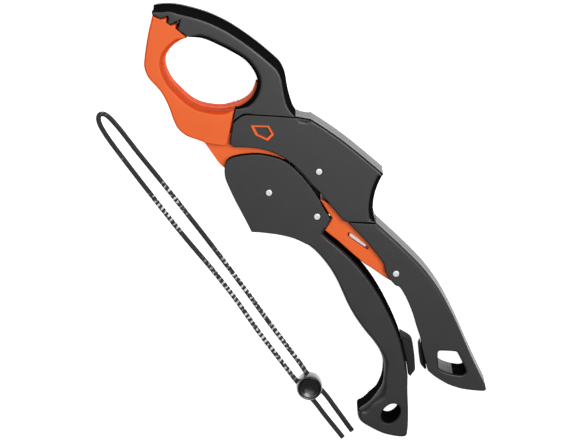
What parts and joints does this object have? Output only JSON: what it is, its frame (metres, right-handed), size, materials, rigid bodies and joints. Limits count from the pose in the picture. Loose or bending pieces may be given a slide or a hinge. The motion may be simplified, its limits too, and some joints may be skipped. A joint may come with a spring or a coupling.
{
  "type": "lip grip",
  "caption": "Plier-style fish lip grip with geared jaws, squeeze handles, sprung lock latch and a loose lanyard with cord lock.",
  "frame": {"origin": "on the back face, on the axis of the jaw pivot", "axes": "+Y along the grip towards the jaws, +Z out of the front face, +X towards the fixed handle's side"},
  "size_m": [0.1054, 0.2492, 0.0212],
  "materials": {
    "black_plastic": "satin moulded",
    "orange_plastic": "satin moulded",
    "steel": "brushed",
    "brass": "turned",
    "soft_rubber": "matt",
    "cord": "braided",
    "gloss_black": "gloss"
  },
  "bodies": {
    "frame": {"upper_jaw": "black_plastic", "front_cover": "black_plastic", "back_cover": "black_plastic", "window_insert": "orange_plastic", "fixed_handle_front": "black_plastic", "fixed_handle_back": "black_plastic", "fixed_stop_pad": "soft_rubber", "jaw_pin": "steel", "handle_pin": "steel", "latch_pin": "steel", "case_screw_1": "steel", "case_screw_2": "steel", "case_screw_3": "steel", "case_screw_4": "steel", "case_screw_5": "steel", "opening_spring": "steel", "latch_spring": "steel"},
    "moving_handle": {"moving_handle_front": "black_plastic", "moving_handle_back": "black_plastic", "handle_core": "steel", "moving_stop_pad": "soft_rubber", "core_rivet": "steel", "grip_screw_1": "steel", "grip_screw_2": "steel", "grip_screw_3": "steel"},
    "jaw": {"lower_jaw": "orange_plastic", "jaw_bush": "brass"},
    "lock_latch": {"latch": "orange_plastic"},
    "lock_button": {"cord_lock_button": "gloss_black"},
    "lanyard": {"lanyard_loop": "cord", "lanyard_tail_left": "cord", "lanyard_tail_right": "cord", "cord_lock_body": "gloss_black", "cord_lock_spring": "steel"}
  },
  "joints": [
    {"name": "handle_pivot", "type": "hinge", "parent": "frame", "child": "moving_handle", "pos_m": [-0.0253, 0.0076, 0.0105], "axis": [0, 0, 1], "range_deg": [-15, 0]},
    {"name": "jaw_pivot", "type": "hinge", "parent": "frame", "child": "jaw", "pos_m": [0, 0, 0.0105], "axis": [0, 0, 1], "range_deg": [0, 18.75]},
    {"name": "latch_pivot", "type": "hinge", "parent": "frame", "child": "lock_latch", "pos_m": [-0.004, -0.0634, 0.0105], "axis": [0, 0, 1], "range_deg": [-6, 0], "stiffness_Nm_per_rad": 0.05, "deforming": ["latch_spring"]},
    {"name": "button_press", "type": "slide", "parent": "lanyard", "child": "lock_button", "axis": [0, 0, -1], "range_m": [0, 0.002], "stiffness_N_per_m": 200, "deforming": ["cord_lock_spring"]},
    {"name": "lanyard_swing", "type": "hinge", "parent": "frame", "child": "lanyard", "pos_m": [-0.0666, 0.0872, 0.001], "axis": [0, 0, 1], "range_deg": [-7.5, 0]}
  ],
  "couplings": [
    {"joint": "jaw_pivot", "follows": "handle_pivot", "ratio": -1.25},
    {"joint": "lanyard_swing", "follows": "handle_pivot", "ratio": 0.5}
  ]
}
